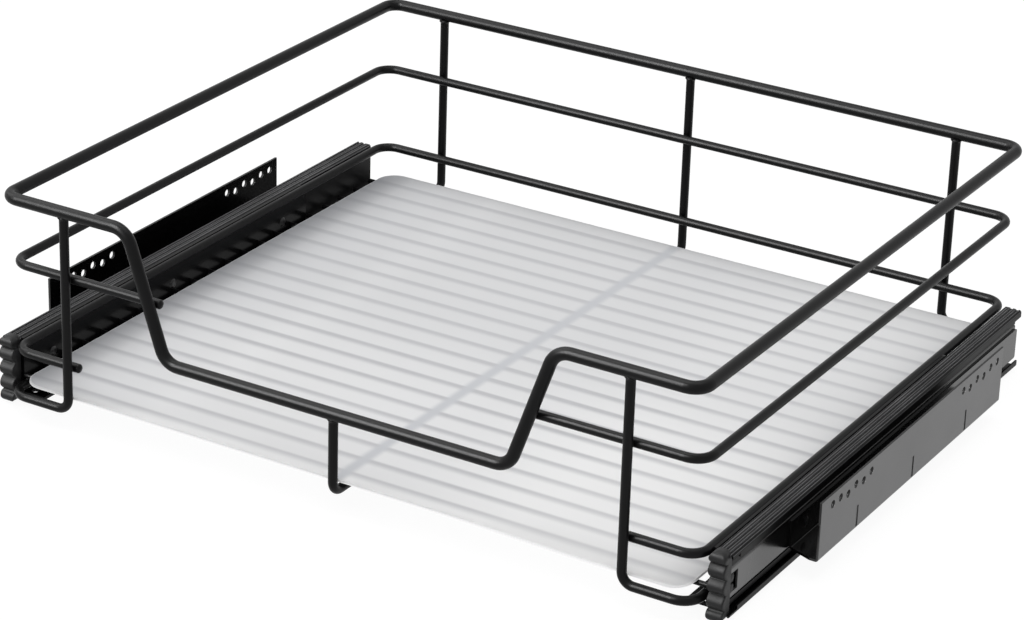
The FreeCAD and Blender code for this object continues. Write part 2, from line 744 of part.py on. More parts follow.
def draw_waves(sketch):
    """Draws the space in front of an end cap's waves: one arc for each wave."""
    count = int(s.lobe_count.value)
    pitch = s.lobe_pitch
    top = s.lobe_pitch * s.lobe_count / 2
    radius = (pitch * pitch / 4 + s.lobe_rise * s.lobe_rise) / (s.lobe_rise * 2)
    angle = math.asin(pitch.value / 2 / radius.value)
    arcs = []
    for index in range(count):
        height = -top.value + pitch.value * (index + 0.5)
        centre = Vector(radius.value, height, 0)
        circle = Part.Circle(centre, Vector(0, 0, 1), radius.value)
        arc = sketch.addGeometry(Part.ArcOfCircle(circle, math.pi - angle, math.pi + angle))
        hold_point(sketch, arc, 1, s.lobe_rise, -top + pitch * (index + 1))
        if index == 0:
            hold_point(sketch, arc, 2, s.lobe_rise, -top)
        else:
            sketch.addConstraint(Sketcher.Constraint("Coincident", arc, 2, arcs[-1], 1))
        hold(sketch, "Radius", (arc,), radius)
        arcs.append(arc)
    ahead = -s.lobe_rise.value
    low = Vector(s.lobe_rise.value, -top.value, 0)
    high = Vector(s.lobe_rise.value, top.value, 0)
    corners = [high, Vector(ahead, top.value, 0), Vector(ahead, -top.value, 0), low]
    lines = [
        sketch.addGeometry(Part.LineSegment(corners[index], corners[index + 1])) for index in range(3)
    ]
    sketch.addConstraint(Sketcher.Constraint("Coincident", lines[0], 1, arcs[-1], 1))
    sketch.addConstraint(Sketcher.Constraint("Coincident", lines[0], 2, lines[1], 1))
    sketch.addConstraint(Sketcher.Constraint("Coincident", lines[1], 2, lines[2], 1))
    sketch.addConstraint(Sketcher.Constraint("Coincident", lines[2], 2, arcs[0], 2))
    sketch.addConstraint(Sketcher.Constraint("Horizontal", lines[0]))
    sketch.addConstraint(Sketcher.Constraint("Vertical", lines[1]))
    sketch.addConstraint(Sketcher.Constraint("Horizontal", lines[2]))
    hold(sketch, "DistanceX", (-1, 1, lines[1], 1), -s.lobe_rise)


def make_bracket():
    """The bracket between the cabinet member and the cabinet's side wall."""
    body = new_body("bracket", slide_side + inner_reach, front + s.bracket_front, s.bracket_bottom)
    inside_bend = s.bracket_bend - s.bracket_sheet
    wall_face = s.bracket_width - s.bracket_sheet
    section = new_sketch(body, "bracket_section", "XZ")
    draw_outline(section, [
        (as_size(0), s.slide_plate_height),
        (as_size(0), as_size(0), s.bracket_bend),
        (s.bracket_width, as_size(0), s.bracket_bend),
        (s.bracket_width, s.wall_plate_height),
        (wall_face, s.wall_plate_height),
        (wall_face, s.bracket_sheet, inside_bend),
        (s.bracket_sheet, s.bracket_sheet, inside_bend),
        (s.bracket_sheet, s.slide_plate_height),
    ])
    pad(body, section, s.bracket_length, reverse=True)
    plate = new_sketch(body, "bracket_slide_plate", "YZ")
    plate_rear = s.slide_front + s.slide_length - s.member_rear_setback - s.bracket_front
    low_part = s.bracket_length + s.slide_plate_gap
    draw_outline(plate, [
        (as_size(0), s.bracket_bend),
        (low_part, s.bracket_bend),
        (low_part, -s.slide_plate_drop),
        (plate_rear, -s.slide_plate_drop, s.slide_plate_corner),
        (plate_rear, s.slide_plate_height, s.slide_plate_corner),
        (as_size(0), s.slide_plate_height),
    ])
    pad(body, plate, s.bracket_sheet)
    corner = new_sketch(body, "bracket_slanted_front", "XY")
    draw_outline(corner, [
        (-s.bracket_sheet, -s.bracket_sheet),
        (s.bracket_width - s.bracket_bend, -s.bracket_sheet),
        (-s.bracket_sheet, s.slide_plate_setback),
    ])
    cut_through(body, corner)
    gussets = range(int(s.gusset_count.value))
    gusset_fronts = [s.gusset_front + s.gusset_pitch * index - s.gusset_width / 2 for index in gussets]
    for index, near in enumerate(gusset_fronts, start=1):
        gusset = new_sketch(body, f"bracket_gusset_{index}", "XZ", -near)
        draw_outline(gusset, [
            (wall_face, s.bracket_sheet),
            (wall_face, s.gusset_height),
            (wall_face - s.gusset_foot, s.bracket_sheet),
        ])
        pad(body, gusset, s.gusset_width, reverse=True)
    dents = new_sketch(body, "bracket_gusset_dents", "YZ", s.bracket_width)
    for near in gusset_fronts:
        draw_outline(dents, [
            (near, s.bracket_bend),
            (near + s.gusset_width, s.bracket_bend),
            (near + s.gusset_width, s.gusset_height),
            (near, s.gusset_height),
        ])
    cut_to_depth(body, dents, s.gusset_dent, reverse=False)
    holes = new_sketch(body, "bracket_screw_holes", "YZ")
    for index, row in enumerate(HOLE_ROWS):
        height = s.wall_plate_height - s.hole_drop - s.hole_stagger * row
        draw_circle(holes, s.hole_front + s.hole_pitch * index, height, s.hole_dia)
        draw_circle(holes, s.hole_front + s.hole_span - s.hole_pitch * index, height, s.hole_dia)
    cut_through(body, holes)
    rivet_holes = new_sketch(body, "bracket_rivet_holes", "YZ")
    height = s.slide_height - s.bracket_bottom
    for index in range(int(s.rivet_count.value)):
        place = s.bracket_rivet_inset + bracket_rivet_pitch * index
        draw_circle(rivet_holes, place, height, s.rivet_dia + s.rivet_play * 2)
    cut_to_depth(body, rivet_holes, s.bracket_sheet, reverse=True)
    return body


def make_rivets(label, first, pitch, head_face, grip, tail):
    """A row of rivets across the slide: a low head, a shank and a tail, which may be flush."""
    rivets = []
    outward = 1 if tail is None else -1
    for index in range(int(s.rivet_count.value)):
        along = front + first + pitch * index
        name = f"{label}_{index + 1}"
        shank = doc.addObject("Part::Cylinder", f"{name}_shank")
        shank.Placement = FreeCAD.Placement(Vector(), ALONG_X)
        bind(shank, "Radius", s.rivet_dia / 2)
        bind(shank, "Height", grip)
        start = head_face if outward == 1 else head_face - grip
        bind_place(shank, start, along, s.slide_height)
        head = doc.addObject("Part::Cone", f"{name}_head")
        turn = FreeCAD.Rotation(Vector(0, 1, 0), -90 * outward)
        head.Placement = FreeCAD.Placement(Vector(), turn)
        bind(head, "Radius1", s.rivet_head_dia / 2)
        bind(head, "Radius2", s.rivet_dia / 2)
        bind(head, "Height", s.rivet_head_height)
        bind_place(head, head_face, along, s.slide_height)
        pieces = [shank, head]
        if tail is not None:
            foot = doc.addObject("Part::Cylinder", f"{name}_tail")
            foot.Placement = FreeCAD.Placement(Vector(), ALONG_X)
            bind(foot, "Radius", s.rivet_dia / 2 + tail)
            bind(foot, "Height", tail)
            bind_place(foot, head_face - grip - tail, along, s.slide_height)
            pieces.append(foot)
        rivet = doc.addObject("Part::MultiFuse", name)
        rivet.Shapes = pieces
        rivets.append(rivet)
    group = doc.addObject("Part::Compound", label)
    group.Links = rivets
    return group


def make_both_sides(item, label):
    """Names the right-hand piece and adds its mirror image as the left-hand one."""
    name_node(item, f"right_{label}")
    left = doc.addObject("Part::Mirroring", f"left_{label}")
    left.Source = item
    left.Base = Vector(0, 0, 0)
    left.Normal = Vector(1, 0, 0)
    name_node(left, f"left_{label}")


rim = make_rim()
slant = (s.dip_mouth - s.dip_floor) / 2 / s.dip_drop
slant_at_ring = s.dip_floor / 2 + slant * (s.upper_ring_height - dip_height)
make_ring("upper_ring_rod", s.upper_ring_height, slant_at_ring - s.upper_tip_reach)
make_ring("lower_ring_rod", s.lower_ring_height, frame_side - s.lower_tip_reach)
make_frame_rods(rim)
make_floor_wires()
make_mat()

ball_line = (middle_web + middle_reach) / 2
outer_row = middle_half + track / 2
inner_row = inner_half + track / 2
outer_cage_edge = middle_reach - s.cage_play
inner_cage_edge = middle_reach - s.slide_sheet - s.cage_play
bracket_face = slide_side + inner_reach + s.bracket_sheet

make_both_sides(make_carrier(), "carrier")
make_both_sides(make_rivets("carrier_rivets", carrier_rivet_front, carrier_rivet_pitch,
                            half_width, s.carrier_thick + s.slide_sheet, None), "carrier_rivets")
make_both_sides(make_drawer_member(), "drawer_member")
make_both_sides(make_end_cap(), "end_cap")
make_both_sides(make_middle_member(), "middle_member")
make_both_sides(make_cage("outer_cage", s.slide_sheet + s.cage_play, outer_cage_edge, outer_row),
                "outer_cage")
make_both_sides(make_balls("outer_balls", outer_row), "outer_balls")
make_both_sides(make_cage("inner_cage", middle_web + s.slide_sheet + s.cage_play, inner_cage_edge,
                          inner_row), "inner_cage")
make_both_sides(make_balls("inner_balls", inner_row), "inner_balls")
make_both_sides(make_cabinet_member(), "cabinet_member")
make_both_sides(make_bracket(), "bracket")
make_both_sides(make_rivets("bracket_rivets", bracket_rivet_front, bracket_rivet_pitch,
                            bracket_face, s.bracket_sheet + s.slide_sheet, s.rivet_tail_height),
                "bracket_rivets")

doc.recompute()
for item in doc.Objects:
    if "Invalid" in item.State or "Error" in item.State:
        raise RuntimeError(f"{item.Label} could not be made: {item.State}")
for node in nodes:
    if node.Shape.isNull() or not node.Shape.isValid():
        raise RuntimeError(f"{node.Label} has no valid shape")

os.makedirs("parts", exist_ok=True)
for node in nodes:
    node.Shape.exportStep(f"parts/{node.Label}.step")
    box = node.Shape.BoundBox
    print(f"{node.Label}: {len(node.Shape.Solids)} solids, {node.Shape.Volume:.0f} mm3, "
          f"x {box.XMin:.1f} {box.XMax:.1f}, y {box.YMin:.1f} {box.YMax:.1f}, "
          f"z {box.ZMin:.1f} {box.ZMax:.1f}")
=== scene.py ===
import json
import math

import bmesh
import bpy
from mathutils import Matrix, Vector, noise


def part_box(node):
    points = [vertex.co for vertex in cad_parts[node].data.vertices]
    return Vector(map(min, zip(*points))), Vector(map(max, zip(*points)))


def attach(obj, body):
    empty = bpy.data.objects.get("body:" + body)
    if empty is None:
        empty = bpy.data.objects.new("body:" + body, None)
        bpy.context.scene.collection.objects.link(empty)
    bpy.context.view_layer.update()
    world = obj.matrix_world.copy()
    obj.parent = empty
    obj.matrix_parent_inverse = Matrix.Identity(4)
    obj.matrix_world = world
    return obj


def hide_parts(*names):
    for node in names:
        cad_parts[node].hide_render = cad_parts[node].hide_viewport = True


# The drawer stands closed on a white floor. Lengths are in metres.
MM = 0.001
SIDES = {"left": -1.0, "right": 1.0}
BASKET_BODY = "drawer"

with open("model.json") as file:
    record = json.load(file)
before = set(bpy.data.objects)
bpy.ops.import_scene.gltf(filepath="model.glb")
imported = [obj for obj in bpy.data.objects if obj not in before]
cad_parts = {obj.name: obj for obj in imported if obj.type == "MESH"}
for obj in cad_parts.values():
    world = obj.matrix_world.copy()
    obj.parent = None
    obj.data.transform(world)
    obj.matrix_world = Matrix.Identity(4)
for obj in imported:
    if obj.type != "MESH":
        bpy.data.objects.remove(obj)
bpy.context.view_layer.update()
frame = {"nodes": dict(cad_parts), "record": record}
node_boxes = {name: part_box(name) for name in frame["nodes"]}


def corners_of(name):
    """The lowest and highest corners of a CAD node, as vectors."""
    low, high = node_boxes[name]
    return Vector(low), Vector(high)


def middle_of(name):
    """The middle of a CAD node's box."""
    low, high = corners_of(name)
    return (low + high) / 2


class Shading:
    """A node material with short calls for the nodes that this scene uses."""

    def __init__(self, name, colour, roughness, specular):
        self.material = bpy.data.materials.new(name)
        self.material.use_nodes = True
        self.tree = self.material.node_tree
        self.shader = self.tree.nodes["Principled BSDF"]
        self.shader.inputs["Base Color"].default_value = (*colour, 1.0)
        self.shader.inputs["Roughness"].default_value = roughness
        self.shader.inputs["Specular IOR Level"].default_value = specular
        coordinates = self.tree.nodes.new("ShaderNodeTexCoord")
        self.place = coordinates.outputs["Object"]

    def link(self, source, target):
        """Joins an output to an input."""
        self.tree.links.new(source, target)

    def stretched(self, scale):
        """The object's coordinates, stretched by a factor for each axis."""
        mapping = self.tree.nodes.new("ShaderNodeMapping")
        mapping.inputs["Scale"].default_value = scale
        self.link(self.place, mapping.inputs["Vector"])
        return mapping.outputs["Vector"]

    def noise(self, scale, detail=2.0, at=None):
        """A noise texture. Its scale is in waves per metre."""
        texture = self.tree.nodes.new("ShaderNodeTexNoise")
        texture.inputs["Scale"].default_value = scale
        texture.inputs["Detail"].default_value = detail
        texture.inputs["Roughness"].default_value = 0.5
        self.link(at or self.place, texture.inputs["Vector"])
        return texture.outputs["Fac"]

    def math(self, operation, first, second=0.0):
        """One math node on outputs or numbers."""
        node = self.tree.nodes.new("ShaderNodeMath")
        node.operation = operation
        for socket, value in zip(node.inputs, (first, second)):
            if isinstance(value, (int, float)):
                socket.default_value = value
            else:
                self.link(value, socket)
        return node.outputs["Value"]

    def spread(self, value, low, high, from_low=0.3, from_high=0.7, smooth=False):
        """Maps a value to another range. The usual source range is that of a noise texture."""
        node = self.tree.nodes.new("ShaderNodeMapRange")
        if smooth:
            node.interpolation_type = "SMOOTHSTEP"
        node.inputs["From Min"].default_value = from_low
        node.inputs["From Max"].default_value = from_high
        node.inputs["To Min"].default_value = low
        node.inputs["To Max"].default_value = high
        self.link(value, node.inputs["Value"])
        return node.outputs["Result"]

    def mix(self, factor, first, second):
        """Mixes two colours."""
        node = self.tree.nodes.new("ShaderNodeMix")
        node.data_type = "RGBA"
        self.link(factor, node.inputs["Factor"])
        for socket, value in ((node.inputs[6], first), (node.inputs[7], second)):
            if isinstance(value, tuple):
                socket.default_value = (*value, 1.0)
            else:
                self.link(value, socket)
        return node.outputs[2]

    def bump(self, height, distance, under=None):
        """A bump whose height is in metres."""
        node = self.tree.nodes.new("ShaderNodeBump")
        node.inputs["Distance"].default_value = distance
        self.link(height, node.inputs["Height"])
        if under is not None:
            self.link(under, node.inputs["Normal"])
        return node.outputs["Normal"]

    def axis(self, letter):
        """One of the object's coordinates, in metres."""
        node = self.tree.nodes.new("ShaderNodeSeparateXYZ")
        self.link(self.place, node.inputs["Vector"])
        return node.outputs[letter]

    def from_line(self, value, line):
        """How far a value's size lies past a line."""
        return self.math("SUBTRACT", self.math("ABSOLUTE", value), line)

    def finish(self, colour, roughness, normal=None):
        """Joins the last nodes to the shader."""
        self.link(colour, self.shader.inputs["Base Color"])
        self.link(roughness, self.shader.inputs["Roughness"])
        if normal is not None:
            self.link(normal, self.shader.inputs["Normal"])
        return self.material


# Noise scales of the finishes are in waves per metre, and the heights are those of their bumps.
ROD_CLOUDS = 45.0
ROD_PEEL = 900.0
ROD_PEEL_HEIGHT = 0.014 * MM
ROD_FINE = 2600.0
ROD_FINE_HEIGHT = 0.005 * MM
SHEET_CLOUDS = 30.0
SHEET_GRAIN = 1500.0
SHEET_GRAIN_HEIGHT = 0.0010 * MM
CAP_CLOUDS = 120.0
CAP_GRAIN = 2200.0
CAP_GRAIN_HEIGHT = 0.03 * MM
ZINC_CLOUDS = 220.0
ZINC_LINES = (1500.0, 40.0, 1500.0)
ZINC_LINE_HEIGHT = 0.006 * MM
ZINC_SHADE = 0.72
BALL_HAZE = 900.0
MAT_FROST = 1800.0
MAT_FROST_HEIGHT = 0.010 * MM


def powder_coat(name, dark, light, roughness, specular):
    """Black powder coat on rod: a fine orange peel and a cloudy gloss."""
    paint = Shading(name, dark, roughness, specular)
    clouds = paint.noise(ROD_CLOUDS, detail=3.0)
    peel = paint.noise(ROD_PEEL)
    fine = paint.noise(ROD_FINE, detail=1.0)
    colour = paint.mix(paint.spread(clouds, 0.0, 1.0), dark, light)
    gloss = paint.spread(peel, roughness - 0.04, roughness + 0.05)
    normal = paint.bump(peel, ROD_PEEL_HEIGHT)
    normal = paint.bump(fine, ROD_FINE_HEIGHT, under=normal)
    return paint.finish(colour, gloss, normal)


def sheet_paint(name, dark, light, roughness, specular, detail=None):
    """Paint on pressed sheet: smooth, with a fine grain, a cloudy gloss and detail of its own."""
    paint = Shading(name, dark, roughness, specular)
    clouds = paint.noise(SHEET_CLOUDS, detail=3.0)
    grain = paint.noise(SHEET_GRAIN)
    colour = paint.mix(paint.spread(clouds, 0.0, 1.0), dark, light)
    gloss = paint.spread(clouds, roughness - 0.02, roughness + 0.03)
    if detail is not None:
        colour, gloss = detail(paint, colour, gloss, clouds)
    return paint.finish(colour, gloss, paint.bump(grain, SHEET_GRAIN_HEIGHT))


# The ridges along the slide's top flange: the middle of one of them and their pitch, in metres.
# Each edge lies RIDGE_HALF from its ridge's middle, and the painted highlight along it fades out between
# # the next two distances off the edge, all three in millimetres.
RIDGE_LINE = abs(corners_of("right_drawer_member")[0].x) + 7.4 * MM
RIDGE_PITCH = 4.0 * MM
RIDGE_HALF = 0.95
HIGHLIGHT_CORE = 0.12
HIGHLIGHT_END = 0.48
# The colour of the painted highlight on the ridges' edges, and the least share of it that the clouds leave.
RIDGE_HIGHLIGHT = (0.165, 0.165, 0.170)
HIGHLIGHT_LEAST = 0.55
FLANGE_TOP = corners_of("right_drawer_member")[1].z


def ridge_highlights(paint, colour, gloss, clouds):
    """The slide's pressed ridges: a painted highlight runs along their edges on the top flange, fainter in
    places.
    """
    steps = paint.math("DIVIDE", paint.from_line(paint.axis("X"), RIDGE_LINE), RIDGE_PITCH)
    off = paint.math("SUBTRACT", steps, paint.math("ROUND", steps))
    off = paint.math("MULTIPLY", paint.math("ABSOLUTE", off), RIDGE_PITCH / MM)
    edge = paint.math("ABSOLUTE", paint.math("SUBTRACT", off, RIDGE_HALF))
    line = paint.spread(edge, 1.0, 0.0, from_low=HIGHLIGHT_CORE, from_high=HIGHLIGHT_END)
    on_top = paint.spread(paint.axis("Z"), 0.0, 1.0,
                          from_low=FLANGE_TOP - 1.2 * MM, from_high=FLANGE_TOP - 1.0 * MM)
    line = paint.math("MULTIPLY", line, on_top)
    line = paint.math("MULTIPLY", line, paint.spread(clouds, HIGHLIGHT_LEAST, 1.0))
    return paint.mix(line, colour, RIDGE_HIGHLIGHT), gloss


# The bracket's outer plate is 1.5 mm thick. Depths are measured inward from its outer face.
PLATE_FACE = corners_of("right_bracket")[1].x
# The bracket's paint is lifted to a grey that stands in for a painted reflection of a white room; the deep
# black below is painted shade between its plates and in its holes.
PLATE_PAINTED_REFLECTION = (0.060, 0.060, 0.061)
PLATE_INSIDE = 0.80 * MM
HOLE_DEPTHS = (0.05 * MM, 1.40 * MM)
HOLE_ZONE_BOTTOM = 36.0 * MM
HOLE_DULLNESS = 0.65
PAINTED_SHADE_BLACK = (0.0015, 0.0015, 0.0016)
PLATE_SHADE_START = corners_of("right_bracket")[0].y - 62.0 * MM
PLATE_SHADE_END = corners_of("right_bracket")[0].y - 22.0 * MM
DEEP_SMOOTHNESS = 0.10
MASK_FADE = 0.10 * MM


def lit_plate(paint, colour, gloss, clouds):
    """The bracket: grey outside as a painted reflection, with painted shade in deep black between its
    plates and in its holes, which are also dull.
    """
    across = paint.from_line(paint.axis("X"), PLATE_FACE)
    inward = paint.spread(across, 1.0, 0.0, from_low=-PLATE_INSIDE, from_high=-PLATE_INSIDE + 2 * MASK_FADE)
    shallow, deepest = HOLE_DEPTHS
    past_back = paint.spread(across, 0.0, 1.0, from_low=-deepest, from_high=-deepest + MASK_FADE)
    past_face = paint.spread(across, 1.0, 0.0, from_low=-shallow - MASK_FADE, from_high=-shallow)
    in_zone = paint.spread(paint.axis("Z"), 0.0, 1.0,
                           from_low=HOLE_ZONE_BOTTOM, from_high=HOLE_ZONE_BOTTOM + 1.0 * MM)
    in_hole = paint.math("MULTIPLY", paint.math("MULTIPLY", past_back, past_face), in_zone)
    behind = paint.spread(paint.axis("Y"), 0.0, 1.0, from_low=PLATE_SHADE_START, from_high=PLATE_SHADE_END, smooth=True)
    painted_shade = paint.math("MAXIMUM", paint.math("MULTIPLY", inward, behind), in_hole)
    between = paint.math("SUBTRACT", painted_shade, in_hole)
    rough = paint.math("ADD", gloss, paint.math("MULTIPLY", in_hole, HOLE_DULLNESS))
    rough = paint.math("SUBTRACT", rough, paint.math("MULTIPLY", between, DEEP_SMOOTHNESS))
    return paint.mix(painted_shade, colour, PAINTED_SHADE_BLACK), rough


def moulded_plastic(name, dark, light, roughness, specular):
    """Black moulded plastic with a fine spark-eroded grain and a cloudy tone and gloss."""
    plastic = Shading(name, dark, roughness, specular)
    grain = plastic.noise(CAP_GRAIN, detail=3.0)
    clouds = plastic.noise(CAP_CLOUDS, detail=3.0)
    colour = plastic.mix(plastic.spread(clouds, 0.0, 1.0), dark, light)
    gloss = plastic.spread(clouds, roughness - 0.07, roughness + 0.07)
    return plastic.finish(colour, gloss, plastic.bump(grain, CAP_GRAIN_HEIGHT))


def plated_steel(name, colour, roughness):
    """Zinc plate: drawn lines and a cloudy passivation."""
    metal = Shading(name, colour, roughness, 0.5)
    metal.shader.inputs["Metallic"].default_value = 1.0
    clouds = metal.noise(ZINC_CLOUDS, detail=4.0)
    lines = metal.noise(1.0, detail=3.0, at=metal.stretched(ZINC_LINES))
    shade = tuple(channel * ZINC_SHADE for channel in colour)
    tone = metal.mix(metal.spread(clouds, 0.0, 1.0), shade, colour)
    gloss = metal.spread(lines, roughness - 0.08, roughness + 0.08)
    return metal.finish(tone, gloss, metal.bump(lines, ZINC_LINE_HEIGHT))


def bearing_steel(name, dark, light):
    """Polished balls with a faint wear haze."""
    steel = Shading(name, light, 0.12, 0.5)
    steel.shader.inputs["Metallic"].default_value = 1.0
    haze = steel.noise(BALL_HAZE, detail=3.0)
    tone = steel.mix(steel.spread(haze, 0.0, 1.0), dark, light)
    return steel.finish(tone, steel.spread(haze, 0.08, 0.2))


FLOOR_WIRES = 21
FIRST_WIRE = middle_of("floor_wire_01").y
WIRE_PITCH = (middle_of(f"floor_wire_{FLOOR_WIRES:02d}").y - FIRST_WIRE) / (FLOOR_WIRES - 1)
MAT_LOW, MAT_HIGH = corners_of("mat")
MAT_CORNER = 14.0 * MM
# The mat's milk is its own colour, lifted to carry the sheen it has no gloss for. The lighter milk on the
# right is painted light, and the shade and light colours below are painted shade and painted light.
MAT_MILK = (0.797, 0.798, 0.805)
MAT_PAINTED_LIGHT_RIGHT = (0.886, 0.886, 0.888)
MAT_WIRE_SHADE = (0.552, 0.554, 0.572)
MAT_ROD_SHADE = (0.594, 0.605, 0.631)
MAT_BACK_SHADE = (0.631, 0.636, 0.650)
MAT_EDGE_SHADE = (0.370, 0.379, 0.407)
MAT_EDGE_LIGHT = (0.96, 0.96, 0.96)
MAT_ROUGHNESS = 0.36

# A wire shows through as a soft band of painted shade that lies a little in front of it. The band starts,
# # is darkest and ends this many millimetres off its own line, and it is darker or paler by these factors.
BAND_LEAD = 3.5 * MM
BAND_START, BAND_CORE, BAND_END = -6.0, 0.5, 3.6
BAND_WAVES = 14.0
BAND_CLOUDS = 0.8
BAND_BACK = 1.3
BAND_RIGHT = 0.72
ROD_BAND = 0.95
BAND_HEIGHT = 0.12 * MM

# How far in from an edge its shade or light reaches, and how strong it is at the edge.
LEFT_SHADES = ((94.0 * MM, 0.36), (24.0 * MM, 0.45))
RIGHT_SHADE = (22.0 * MM, 0.12)
BACK_SHADE = 0.4
FRONT_LIGHT = 0.6
RIM_LIGHT = 0.5

# The cut edge and the corner that hangs down let light through, painted as a glow.
CUT_GLOW = 0.22
CUT_GLOW_TOP = 0.15
CORNER_GLOW = 0.05


def wire_bands(plastic, x, y):
    """How strongly the painted shade of the floor wires shows at each place on the mat."""
    steps = plastic.math("DIVIDE", plastic.math("SUBTRACT", y, FIRST_WIRE - BAND_LEAD), WIRE_PITCH)
    off = plastic.math("SUBTRACT", steps, plastic.math("ROUND", steps))
    off = plastic.math("MULTIPLY", off, WIRE_PITCH / MM)
    near_side = plastic.spread(off, 0.0, 1.0, from_low=BAND_START, from_high=BAND_CORE, smooth=True)
    far_side = plastic.spread(off, 1.0, 0.0, from_low=BAND_CORE, from_high=BAND_END, smooth=True)
    band = plastic.math("MINIMUM", near_side, far_side)
    clouds = plastic.noise(BAND_WAVES, detail=3.0)
    to_back = plastic.spread(y, 1.0, BAND_BACK, from_low=-150.0 * MM, from_high=-50.0 * MM)
    to_right = plastic.spread(x, 1.0, BAND_RIGHT, from_low=60.0 * MM, from_high=150.0 * MM)
    for factor in (plastic.spread(clouds, BAND_CLOUDS, 1.0), to_back, to_right):
        band = plastic.math("MULTIPLY", band, factor)
    return band


def outline_reach(plastic, x, y):
    """How far a point reaches out from the centres of the mat's corner bends."""
    total = None
    for value, start, end in ((x, MAT_LOW.x, MAT_HIGH.x), (y, MAT_LOW.y, MAT_HIGH.y)):
        off = plastic.from_line(plastic.math("SUBTRACT", value, (start + end) / 2),
                                (end - start) / 2 - MAT_CORNER)
        over = plastic.math("MAXIMUM", off, 0.0)
        squared = plastic.math("MULTIPLY", over, over)
        total = squared if total is None else plastic.math("ADD", total, squared)
    return plastic.math("SQRT", total)


def mat_colour(plastic, x, y, band, reach):
    """The mat's milk, painted lighter on the right, painted shade of the wires, the rod, the sides and the
    back, and painted light at its front and rim.
    """
    to_right = plastic.spread(x, 0.0, 1.0, from_low=20.0 * MM, from_high=130.0 * MM, smooth=True)
    colour = plastic.mix(to_right, MAT_MILK, MAT_PAINTED_LIGHT_RIGHT)
    colour = plastic.mix(band, colour, MAT_WIRE_SHADE)
    to_back = plastic.spread(y, 0.0, BACK_SHADE, from_low=-110.0 * MM, from_high=40.0 * MM, smooth=True)
    colour = plastic.mix(to_back, colour, MAT_BACK_SHADE)
    to_front = plastic.spread(y, FRONT_LIGHT, 0.0,
                              from_low=MAT_LOW.y + 2.0 * MM, from_high=MAT_LOW.y + 14.0 * MM)
    colour = plastic.mix(to_front, colour, MAT_EDGE_LIGHT)
    on_rod = plastic.spread(plastic.math("ABSOLUTE", x), ROD_BAND, 0.0,
                            from_low=1.0 * MM, from_high=6.5 * MM, smooth=True)
    colour = plastic.mix(on_rod, colour, MAT_ROD_SHADE)
    left = [plastic.spread(x, strength, 0.0, from_low=MAT_LOW.x, from_high=MAT_LOW.x + width)
            for width, strength in LEFT_SHADES]
    colour = plastic.mix(plastic.math("ADD", *left), colour, MAT_EDGE_SHADE)
    width, strength = RIGHT_SHADE
    right = plastic.spread(x, 0.0, strength, from_low=MAT_HIGH.x - width, from_high=MAT_HIGH.x)
    colour = plastic.mix(right, colour, MAT_EDGE_SHADE)
    rim = plastic.spread(reach, 0.0, RIM_LIGHT,
                         from_low=MAT_CORNER - 1.3 * MM, from_high=MAT_CORNER - 0.6 * MM)
    return plastic.mix(rim, colour, MAT_EDGE_LIGHT)


def mat_glow(plastic, x, y, reach):
    """The painted glow that stands in for light coming through at the cut edge, most in its lower half, and
    at the hanging corner.
    """
    cut_edge = plastic.spread(reach, 0.0, CUT_GLOW,
                              from_low=MAT_CORNER - 0.30 * MM, from_high=MAT_CORNER - 0.05 * MM)
    lower_half = plastic.spread(plastic.axis("Z"), 1.0, CUT_GLOW_TOP,
                                from_low=MAT_LOW.z + 0.5 * MM, from_high=MAT_HIGH.z - 0.5 * MM)
    to_right = plastic.spread(x, 0.0, CORNER_GLOW, from_low=175.0 * MM, from_high=215.0 * MM, smooth=True)
    to_front = plastic.spread(y, 1.0, 0.0, from_low=MAT_LOW.y + 5.0 * MM,
                              from_high=MAT_LOW.y + 16.0 * MM, smooth=True)
    return plastic.math("ADD", plastic.math("MULTIPLY", to_right, to_front),
                        plastic.math("MULTIPLY", cut_edge, lower_half))


def milky_plastic(name):
    """The mat: frosted translucent plastic with no shine of its own. Its colours carry painted light, shade
    and sheen, and the wires show softly through as painted shade.
    """
    plastic = Shading(name, MAT_MILK, MAT_ROUGHNESS, 0.0)
    x, y = plastic.axis("X"), plastic.axis("Y")
    band = wire_bands(plastic, x, y)
    reach = outline_reach(plastic, x, y)
    glow = plastic.mix(mat_glow(plastic, x, y, reach), (0.0, 0.0, 0.0), (1.0, 1.0, 1.0))
    plastic.link(glow, plastic.shader.inputs["Emission Color"])
    plastic.shader.inputs["Emission Strength"].default_value = 1.0
    frost = plastic.noise(MAT_FROST)
    gloss = plastic.spread(frost, MAT_ROUGHNESS - 0.06, MAT_ROUGHNESS + 0.04)
    normal = plastic.bump(frost, MAT_FROST_HEIGHT)
    normal = plastic.bump(band, BAND_HEIGHT, under=normal)
    return plastic.finish(mat_colour(plastic, x, y, band, reach), gloss, normal)


